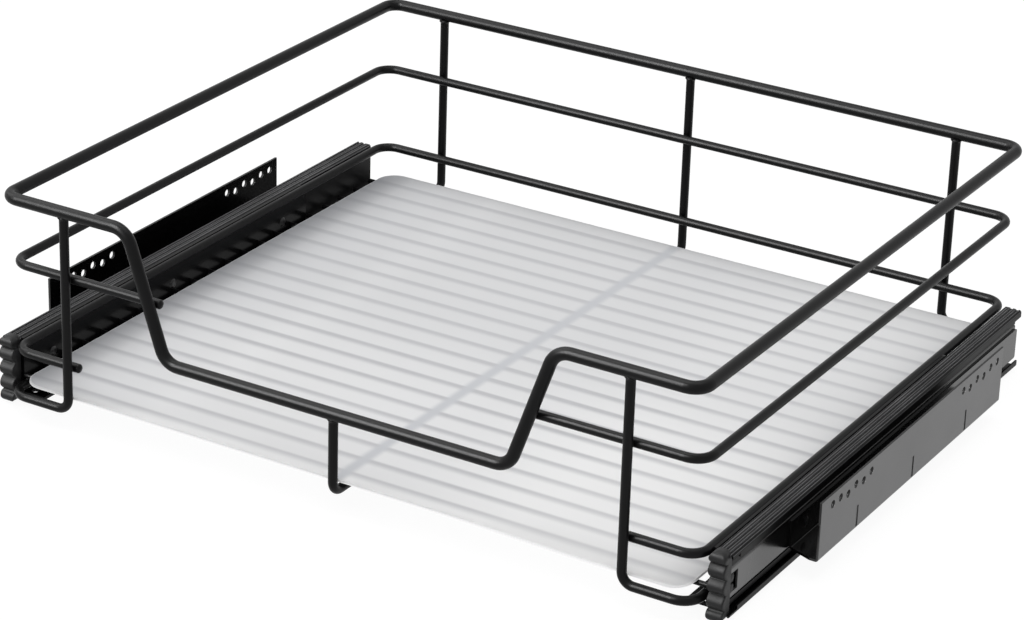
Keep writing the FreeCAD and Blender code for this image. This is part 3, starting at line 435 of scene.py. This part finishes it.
# Each paint has its darkest and lightest colour, its roughness and its specular level.
MATERIALS = {
    "rod_steel": powder_coat("rod_steel", (0.0034, 0.0034, 0.0036), (0.0050, 0.0050, 0.0053), 0.34, 0.11),
    "slide_steel": sheet_paint("slide_steel", (0.0030, 0.0030, 0.0032), (0.0045, 0.0045, 0.0047),
                               0.36, 0.07, detail=ridge_highlights),
    "carrier_steel": sheet_paint("carrier_steel", (0.0030, 0.0030, 0.0032), (0.0045, 0.0045, 0.0048),
                                 0.22, 0.07),
    "bracket_steel": sheet_paint("bracket_steel", PLATE_PAINTED_REFLECTION, PLATE_PAINTED_REFLECTION, 0.30, 0.50, detail=lit_plate),
    "rivet_steel": powder_coat("rivet_steel", (0.0080, 0.0080, 0.0085), (0.0110, 0.0110, 0.0115),
                               0.30, 0.30),
    "cap_plastic": moulded_plastic("cap_plastic", (0.0150, 0.0150, 0.0154), (0.0210, 0.0210, 0.0214),
                                   0.50, 0.14),
    "mat_plastic": milky_plastic("mat_plastic"),
    "plated_steel": plated_steel("plated_steel", (0.55, 0.55, 0.57), 0.34),
    "ball_steel": bearing_steel("ball_steel", (0.62, 0.62, 0.64), (0.76, 0.76, 0.78)),
}


def dress_cad_nodes():
    """Gives each CAD node the material of its slot."""
    for entry in frame["record"]["subparts"]:
        item = frame["nodes"][entry["node"]]
        for slot in item.material_slots:
            slot.material = MATERIALS[entry["material_slot"]]


def new_piece(name, mesh, slot_name, replaced=None):
    """Adds a mesh that rides with the basket and takes its finish from a slot."""
    piece = bpy.data.objects.new(name, mesh)
    bpy.context.collection.objects.link(piece)
    mesh.materials.append(MATERIALS[slot_name])
    mesh.shade_smooth()
    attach(piece, BASKET_BODY)
    if replaced is not None:
        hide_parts(replaced)


JOIN_WITHIN = 0.004 * MM
DISSOLVE_WITHIN = 0.002 * MM


def mesh_from(name, points, faces):
    """A mesh with its doubled points joined and its faces turned outward."""
    shape = bmesh.new()
    corners = [shape.verts.new(point) for point in points]
    for face in faces:
        shape.faces.new([corners[index] for index in face])
    bmesh.ops.remove_doubles(shape, verts=shape.verts, dist=JOIN_WITHIN)
    bmesh.ops.dissolve_degenerate(shape, edges=shape.edges, dist=DISSOLVE_WITHIN)
    bmesh.ops.recalc_face_normals(shape, faces=shape.faces)
    mesh = bpy.data.meshes.new(name)
    shape.to_mesh(mesh)
    shape.free()
    return mesh


def skin(loops):
    """Faces between loops of equal length, one after another, with the first and last filled."""
    points = [point for loop in loops for point in loop]
    size = len(loops[0])
    faces = []
    for ring in range(len(loops) - 1):
        for index in range(size):
            after = (index + 1) % size
            faces.append((ring * size + index, ring * size + after,
                          (ring + 1) * size + after, (ring + 1) * size + index))
    faces.append(tuple(range(size)))
    faces.append(tuple(range((len(loops) - 1) * size, len(loops) * size)))
    return points, faces


MAT_EDGE = 0.55 * MM
MAT_SAG = 0.12 * MM
MAT_DROOP = 2.2 * MM
MAT_DROOP_START = 60.0 * MM
MAT_DROOP_END = 180.0 * MM
MAT_DROOP_POWER = 1.4
MAT_CUTS_PER_WIRE = 4
MAT_CUTS_ACROSS = 12
CORNER_STEPS = 10
EDGE_STEPS = 4


def rounded_outline(inset):
    """The corner arcs of the mat's outline, drawn in by an inset, as (x, y) points."""
    points = []
    quarters = ((MAT_HIGH.x, MAT_HIGH.y), (MAT_LOW.x, MAT_HIGH.y), (MAT_LOW.x, MAT_LOW.y),
                (MAT_HIGH.x, MAT_LOW.y))
    middle = (MAT_LOW + MAT_HIGH) / 2
    for quarter, (corner_x, corner_y) in enumerate(quarters):
        centre_x = corner_x - math.copysign(MAT_CORNER, corner_x - middle.x)
        centre_y = corner_y - math.copysign(MAT_CORNER, corner_y - middle.y)
        for step in range(CORNER_STEPS + 1):
            angle = math.pi / 2 * (quarter + step / CORNER_STEPS)
            reach = MAT_CORNER - inset
            points.append((centre_x + reach * math.cos(angle), centre_y + reach * math.sin(angle)))
    return points


def mat_loops():
    """The mat's edge, rounded below and above, as loops from its underside to its top."""
    turns = [math.pi / 2 * step / EDGE_STEPS for step in range(EDGE_STEPS + 1)]
    below = [(1 - math.sin(turn), MAT_LOW.z + MAT_EDGE * (1 - math.cos(turn))) for turn in turns]
    above = [(1 - math.cos(turn), MAT_HIGH.z - MAT_EDGE * (1 - math.sin(turn))) for turn in turns]
    return [[(x, y, height) for x, y in rounded_outline(MAT_EDGE * share)]
            for share, height in below + above]


def make_mat():
    """The mat's sheet. It sags a little between the wires and hangs down at its right front corner."""
    mesh = mesh_from("mat_sheet", *skin(mat_loops()))
    shape = bmesh.new()
    shape.from_mesh(mesh)
    spacing = WIRE_PITCH / MAT_CUTS_PER_WIRE
    cuts = int((MAT_HIGH.y - MAT_LOW.y) / spacing)
    planes = [((0, MAT_LOW.y + spacing * index, 0), (0, 1, 0)) for index in range(1, cuts)]
    planes += [((MAT_HIGH.x * step / MAT_CUTS_ACROSS, 0, 0), (1, 0, 0))
               for step in range(2, MAT_CUTS_ACROSS)]
    for place, across in planes:
        geometry = shape.verts[:] + shape.edges[:] + shape.faces[:]
        bmesh.ops.bisect_plane(shape, geom=geometry, plane_co=place, plane_no=across)
    for vertex in shape.verts:
        turns = (vertex.co.y - FIRST_WIRE) / WIRE_PITCH
        vertex.co.z -= MAT_SAG * (1 - math.cos(turns * math.tau)) / 2
        ahead = max(0.0, (FIRST_WIRE - vertex.co.y) / (FIRST_WIRE - MAT_LOW.y))
        along = (vertex.co.x - MAT_DROOP_START) / (MAT_DROOP_END - MAT_DROOP_START)
        along = min(1.0, max(0.0, along))
        vertex.co.z -= MAT_DROOP * ahead ** MAT_DROOP_POWER * along ** 2 * (3 - 2 * along)
    shape.to_mesh(mesh)
    shape.free()
    new_piece("mat_sheet", mesh, "mat_plastic", "mat")


LOBES = 5
LOBE_PITCH = 10.1 * MM
LOBE_RISE = 3.8 * MM
LOBE_STEPS = 12
END_LOBE_FLATTENING = 0.98
CAP_CORNER = 4.6 * MM
CAP_EDGE = 0.8 * MM
CAP_COLUMNS = 16
GROOVES = [LOBE_PITCH * (index - (LOBES - 2) / 2) for index in range(LOBES - 1)]


def lobe_depth(height, low, high, centre):
    """How far a cap's front lies behind its foremost line, at a height."""
    bottom_groove, top_groove = centre + GROOVES[0], centre + GROOVES[-1]
    if height > top_groove or height < bottom_groove:
        edge, groove = (high, top_groove) if height > top_groove else (low, bottom_groove)
        crown = (edge + groove) / 2
        reach = abs(edge - groove) / 2
        along = min(1.0, abs(height - crown) / reach)
        return LOBE_RISE * (1 - math.sqrt(1 - along ** 2 * END_LOBE_FLATTENING))
    along = ((height - centre) / LOBE_PITCH + 0.5) % 1.0 * 2 - 1
    return LOBE_RISE * along ** 2


def rounding(radius, from_side):
    """How far a rounded edge lies back, at a distance from the side."""
    into = max(0.0, radius - from_side)
    return radius - math.sqrt(radius ** 2 - into ** 2)


def make_cap(side, sign):
    """The end cap: five lobes down its front, rounded ends and edges, flat behind."""
    low, high = corners_of(f"{side}_end_cap")
    centre = middle_of(f"{side}_drawer_member").z
    inner = min(abs(low.x), abs(high.x))
    width = high.x - low.x
    count = LOBE_STEPS * LOBES
    heights = [low.z + (high.z - low.z) * step / count for step in range(count + 1)]
    heights += [centre + groove for groove in GROOVES]
    heights.sort()
    columns = [width * (1 - math.cos(math.pi * step / CAP_COLUMNS)) / 2 for step in range(CAP_COLUMNS + 1)]
    front = []
    for across in columns:
        from_side = min(across, width - across)
        shy = rounding(CAP_CORNER, from_side)
        for height in heights:
            held = min(max(height, low.z + shy), high.z - shy)
            depth = lobe_depth(held, low.z, high.z, centre) + rounding(CAP_EDGE, from_side)
            front.append((sign * (inner + across), low.y + depth, held))
    back = [(x, high.y, z) for x, _, z in front]
    rows = len(heights)
    total = len(front)
    faces = []
    for column in range(CAP_COLUMNS):
        for row in range(rows - 1):
            first = column * rows + row
            faces.append((first, first + rows, first + rows + 1, first + 1))
            faces.append((total + first, total + first + 1, total + first + rows + 1, total + first + rows))
    rim = [column * rows for column in range(CAP_COLUMNS + 1)]
    rim += [CAP_COLUMNS * rows + row for row in range(1, rows)]
    rim += [column * rows + rows - 1 for column in range(CAP_COLUMNS - 1, -1, -1)]
    rim += list(range(rows - 2, 0, -1))
    for index, spot in enumerate(rim):
        after = rim[(index + 1) % len(rim)]
        faces.append((spot, after, total + after, total + spot))
    mesh = mesh_from(f"{side}_cap_skin", front + back, faces)
    new_piece(f"{side}_cap_skin", mesh, "cap_plastic", f"{side}_end_cap")


def frame_along(direction):
    """Two directions square to a given one."""
    helper = Vector((0, 0, 1)) if abs(direction.z) < 0.9 else Vector((1, 0, 0))
    first = direction.cross(helper).normalized()
    return first, direction.cross(first)


# A turned shape is round in this many steps, and its wobble is in waves per metre.
ROD_STEPS = 20
WOBBLE_WAVES = 700.0


def turned(place, direction, profile, wobble=0.0, steps=ROD_STEPS):
    """Loops of a turned shape. The profile is (along, radius), from the place along the direction."""
    place, direction = Vector(place), Vector(direction).normalized()
    first, second = frame_along(direction)
    loops = []
    for along, radius in profile:
        loop = []
        for step in range(steps):
            angle = math.tau * step / steps
            out = first * math.cos(angle) + second * math.sin(angle)
            spot = place + direction * along + out * radius
            loop.append(spot + out * (wobble * noise.noise(spot * WOBBLE_WAVES)))
        loops.append(loop)
    return loops


class Gather:
    """Collects several closed shapes into one mesh."""

    def __init__(self):
        self.points = []
        self.faces = []

    def add(self, loops):
        """Adds the skin over some loops."""
        points, faces = skin(loops)
        start = len(self.points)
        self.points += points
        self.faces += [tuple(start + index for index in face) for face in faces]

    def piece(self, name, slot_name):
        """Makes the piece."""
        new_piece(name, mesh_from(name, self.points, self.faces), slot_name)


ROD = 6.0 * MM
RIM = 8.0 * MM
COLLAR_FLARE = 0.9 * MM
COLLAR_HEIGHT = 1.8 * MM
COLLAR_POWER = 2.2
COLLAR_BITE = 0.2 * MM
COLLAR_ROOT = 0.8 * MM
COLLAR_PROUD = 0.04 * MM
COLLAR_TIP = 0.1 * MM
COLLAR_TUCK = 0.2 * MM
COLLAR_WOBBLE = 0.12 * MM
ROD_CROWN = 1.3 * MM
CROWN_ROOT = 0.2 * MM
CROWN_ROOT_INSET = 0.05 * MM
CROWN_INSET = 0.02 * MM
CROWN_FLAT = 0.08
TURN_STEPS = 6
# The radius and half the height of a weld's bead, where a ring or a wire crosses a rod.
RING_BEAD = (2.3 * MM, 0.9 * MM)
WIRE_BEAD = (1.7 * MM, 0.7 * MM)
BEAD_STEPS = 14
BEAD_WOBBLE = 0.18 * MM


def add_collar(gather, place):
    """A weld fillet round the top of an upright rod, widest where it meets the rim."""
    profile = [(-COLLAR_ROOT, ROD / 2)]
    for step in range(TURN_STEPS + 1):
        share = step / TURN_STEPS
        radius = ROD / 2 + COLLAR_PROUD + COLLAR_FLARE * (1 - share) ** COLLAR_POWER
        profile.append((COLLAR_HEIGHT * share, radius))
    profile.append((COLLAR_HEIGHT + COLLAR_TIP, ROD / 2 - COLLAR_TUCK))
    gather.add(turned(place, (0, 0, -1), profile, wobble=COLLAR_WOBBLE))


def add_dome(gather, place, direction):
    """The rounded end of a cut rod."""
    radius = ROD / 2
    profile = [(-CROWN_ROOT, radius - CROWN_ROOT_INSET)]
    for step in range(TURN_STEPS):
        angle = math.pi / 2 * step / TURN_STEPS
        profile.append((ROD_CROWN * math.sin(angle), (radius - CROWN_INSET) * math.cos(angle)))
    profile.append((ROD_CROWN, radius * CROWN_FLAT))
    gather.add(turned(place, direction, profile))


def add_bead(gather, place, direction, size):
    """The small bead of a resistance weld, squeezed out between two crossed rods."""
    radius, thickness = size
    profile = []
    for step in range(1, TURN_STEPS):
        angle = math.pi * step / TURN_STEPS
        profile.append((-thickness * math.cos(angle), radius * math.sin(angle)))
    gather.add(turned(place, direction, profile, wobble=BEAD_WOBBLE, steps=BEAD_STEPS))


def make_welds():
    """The welds between rods, wires and the rim."""
    welds = Gather()
    rim_low, rim_high = corners_of("rim_rod")
    collar_top = rim_high.z - RIM + COLLAR_BITE
    dip_top = rim_low.z + COLLAR_BITE
    frame_low, frame_high = corners_of("centre_frame_rod")
    front, back = frame_low.y + ROD / 2, frame_high.y - ROD / 2
    posts = []
    for label, sign in (("left_frame_rod", -1), ("right_frame_rod", 1)):
        low, high = corners_of(label)
        posts.append(sign * (min(abs(low.x), abs(high.x)) + ROD / 2))
    for post in posts:
        add_collar(welds, (post, front, collar_top))
        add_collar(welds, (post, back, collar_top))
    add_collar(welds, (0, front, dip_top))
    add_collar(welds, (0, back, collar_top))
    for label in ("upper_ring_rod", "lower_ring_rod"):
        low, high = corners_of(label)
        height = (low.z + high.z) / 2
        for post in posts:
            add_bead(welds, (post, low.y, height), (0, 1, 0), RING_BEAD)
            add_bead(welds, (post, high.y, height), (0, 1, 0), RING_BEAD)
        add_bead(welds, (0, high.y, height), (0, 1, 0), RING_BEAD)
    wire_under = corners_of("floor_wire_01")[0].z
    side = corners_of("right_frame_rod")[1].x - ROD / 2
    for index in range(1, FLOOR_WIRES + 1):
        along = middle_of(f"floor_wire_{index:02d}").y
        for across in (-side, 0, side):
            add_bead(welds, (across, along, wire_under), (0, 0, 1), WIRE_BEAD)
    welds.piece("weld_beads", "rod_steel")


def make_ring_ends():
    """Rounded ends on the two rings, which stop at the front."""
    ends = Gather()
    for label in ("upper_ring_rod", "lower_ring_rod"):
        item = frame["nodes"][label]
        low, high = corners_of(label)
        line = low.y + ROD / 2
        height = (low.z + high.z) / 2
        spots = [vertex.co for vertex in item.data.vertices if vertex.co.y < line + ROD]
        for sign in (-1, 1):
            tip = min(abs(spot.x) for spot in spots if spot.x * sign > 0)
            add_dome(ends, (sign * tip, line, height), (-sign, 0, 0))
    ends.piece("ring_ends", "rod_steel")


CLIP_OFF = 3.4 * MM
CLIP_BACK = 1.9 * MM
CLIP_ROUNDNESS = 0.7
CLIP_STEPS = 20
# A clip's half sizes and its section, in millimetres. From its inner to its outer face, the section
# has the place across, and how far the outline is drawn in.
CLIP_HALF_LENGTH = 3.0
CLIP_HALF_HEIGHT = 2.9
CLIP_SECTION = ((-1.5, 0.4), (-1.2, 0.0), (0.1, 0.0), (0.4, 0.4))


def make_cap_clips(side, sign):
    """The two snap lugs behind an end cap, each a pad with rounded corners and bevelled faces."""
    cap_high = corners_of(f"{side}_end_cap")[1]
    web_low, web_high = corners_of(f"{side}_cabinet_member")
    outer = max(abs(web_low.x), abs(web_high.x))
    centre = middle_of(f"{side}_cabinet_member").z
    lugs = Gather()
    for height in (centre + CLIP_OFF, centre - CLIP_OFF):
        loops = []
        for across, shrink in CLIP_SECTION:
            loop = []
            for step in range(CLIP_STEPS):
                angle = math.tau * step / CLIP_STEPS
                turn_along = math.copysign(abs(math.cos(angle)) ** CLIP_ROUNDNESS, math.cos(angle))
                turn_up = math.copysign(abs(math.sin(angle)) ** CLIP_ROUNDNESS, math.sin(angle))
                along = (CLIP_HALF_LENGTH - shrink) * MM * turn_along
                up = (CLIP_HALF_HEIGHT - shrink) * MM * turn_up
                loop.append((sign * (outer + across * MM), cap_high.y + CLIP_BACK + along, height + up))
            loops.append(loop)
        lugs.add(loops)
    lugs.piece(f"{side}_cap_clips", "cap_plastic")


CAMERA_PLACE = Vector((1.0176, -1.7586, 0.9700))
CAMERA_AIM = Vector((0.0040, -0.0200, 0.0600))
CAMERA_ROLL = math.radians(1.86)
CAMERA_LENS_MM = 121.2
CAMERA_SENSOR_MM = 36.0


def make_camera():
    """The photograph's view."""
    camera = bpy.data.objects.new("camera", bpy.data.cameras.new("camera"))
    bpy.context.collection.objects.link(camera)
    camera.data.lens = CAMERA_LENS_MM
    camera.data.sensor_width = CAMERA_SENSOR_MM
    camera.location = CAMERA_PLACE
    camera.rotation_euler = (CAMERA_AIM - CAMERA_PLACE).to_track_quat("-Z", "Y").to_euler()
    camera.rotation_euler.rotate_axis("Z", CAMERA_ROLL)
    bpy.context.scene.camera = camera


def seen_rays(tree, seen, other):
    """A strength for rays that show a thing, straight, by gloss or through glass, and one for the rest."""
    path = tree.nodes.new("ShaderNodeLightPath")
    shown = path.outputs["Is Camera Ray"]
    for kind in ("Is Glossy Ray", "Is Transmission Ray"):
        either = tree.nodes.new("ShaderNodeMath")
        either.operation = "MAXIMUM"
        tree.links.new(shown, either.inputs[0])
        tree.links.new(path.outputs[kind], either.inputs[1])
        shown = either.outputs["Value"]
    strength = tree.nodes.new("ShaderNodeMapRange")
    strength.inputs["To Min"].default_value = other
    strength.inputs["To Max"].default_value = seen
    tree.links.new(shown, strength.inputs["Value"])
    return strength.outputs["Result"]


FLOOR_SIZE = 14.0
FLOOR_DROP = 0.6 * MM
FLOOR_COLOUR = (0.12, 0.12, 0.12, 1.0)
FLOOR_GLOW = 0.93
FLOOR_LIGHT = 0.70
WORLD_SEEN = 1.0
WORLD_LIGHT = 0.55


def make_floor():
    """A white floor that keeps a faint shadow of the object."""
    mesh = bpy.data.meshes.new("floor")
    half = FLOOR_SIZE / 2
    corners = [(-half, -half, 0), (half, -half, 0), (half, half, 0), (-half, half, 0)]
    mesh.from_pydata(corners, [], [(0, 1, 2, 3)])
    floor = bpy.data.objects.new("floor", mesh)
    bpy.context.collection.objects.link(floor)
    floor.location.z = -FLOOR_DROP
    material = bpy.data.materials.new("floor_white")
    material.use_nodes = True
    tree = material.node_tree
    shader = tree.nodes["Principled BSDF"]
    shader.inputs["Base Color"].default_value = FLOOR_COLOUR
    shader.inputs["Roughness"].default_value = 1.0
    shader.inputs["Specular IOR Level"].default_value = 0.0
    glow = tree.nodes.new("ShaderNodeEmission")
    tree.links.new(seen_rays(tree, FLOOR_GLOW, FLOOR_LIGHT), glow.inputs["Strength"])
    both = tree.nodes.new("ShaderNodeAddShader")
    tree.links.new(shader.outputs["BSDF"], both.inputs[0])
    tree.links.new(glow.outputs["Emission"], both.inputs[1])
    tree.links.new(both.outputs["Shader"], tree.nodes["Material Output"].inputs["Surface"])
    mesh.materials.append(material)


def make_world():
    """A white studio: white where it is seen, dimmer as a light."""
    world = bpy.data.worlds.new("studio")
    bpy.context.scene.world = world
    world.use_nodes = True
    tree = world.node_tree
    background = tree.nodes["Background"]
    background.inputs["Color"].default_value = (1.0, 1.0, 1.0, 1.0)
    tree.links.new(seen_rays(tree, WORLD_SEEN, WORLD_LIGHT), background.inputs["Strength"])


LAMP_AIM = Vector((0, 0, 0.05))
GLOSS_DISTANCE = 2.2
# Each lamp has its place, its two sides and its power in watts, and lights only gloss or everything.
LAMPS = {
    "left_lamp": (Vector((-1.9, -0.3, 1.3)), (1.3, 1.0), 14.0, False),
    "top_lamp": (Vector((0.2, 0.1, 2.2)), (1.4, 1.4), 16.0, False),
    "run_gloss": (Vector((-0.40, -0.69, 0.59)) * GLOSS_DISTANCE, (0.9, 1.4), 125.0, True),
    "crown_gloss": (Vector((-0.46, 0.07, 0.88)) * GLOSS_DISTANCE, (1.6, 1.6), 30.0, True),
}


def make_lamps():
    """Two broad lamps for the light, and two that only put a shine on the glossy pieces."""
    for name, (place, size, power, only_gloss) in LAMPS.items():
        lamp = bpy.data.lights.new(name, "AREA")
        lamp.shape = "RECTANGLE"
        lamp.size, lamp.size_y = size
        lamp.energy = power
        item = bpy.data.objects.new(name, lamp)
        bpy.context.collection.objects.link(item)
        item.location = place
        item.rotation_euler = (LAMP_AIM - place).to_track_quat("-Z", "Y").to_euler()
        item.visible_diffuse = not only_gloss


make_camera()
make_floor()
make_world()
dress_cad_nodes()
make_mat()
for side, sign in SIDES.items():
    make_cap(side, sign)
    make_cap_clips(side, sign)
make_welds()
make_ring_ends()
make_lamps()

bpy.context.scene.view_settings.view_transform = "Standard"
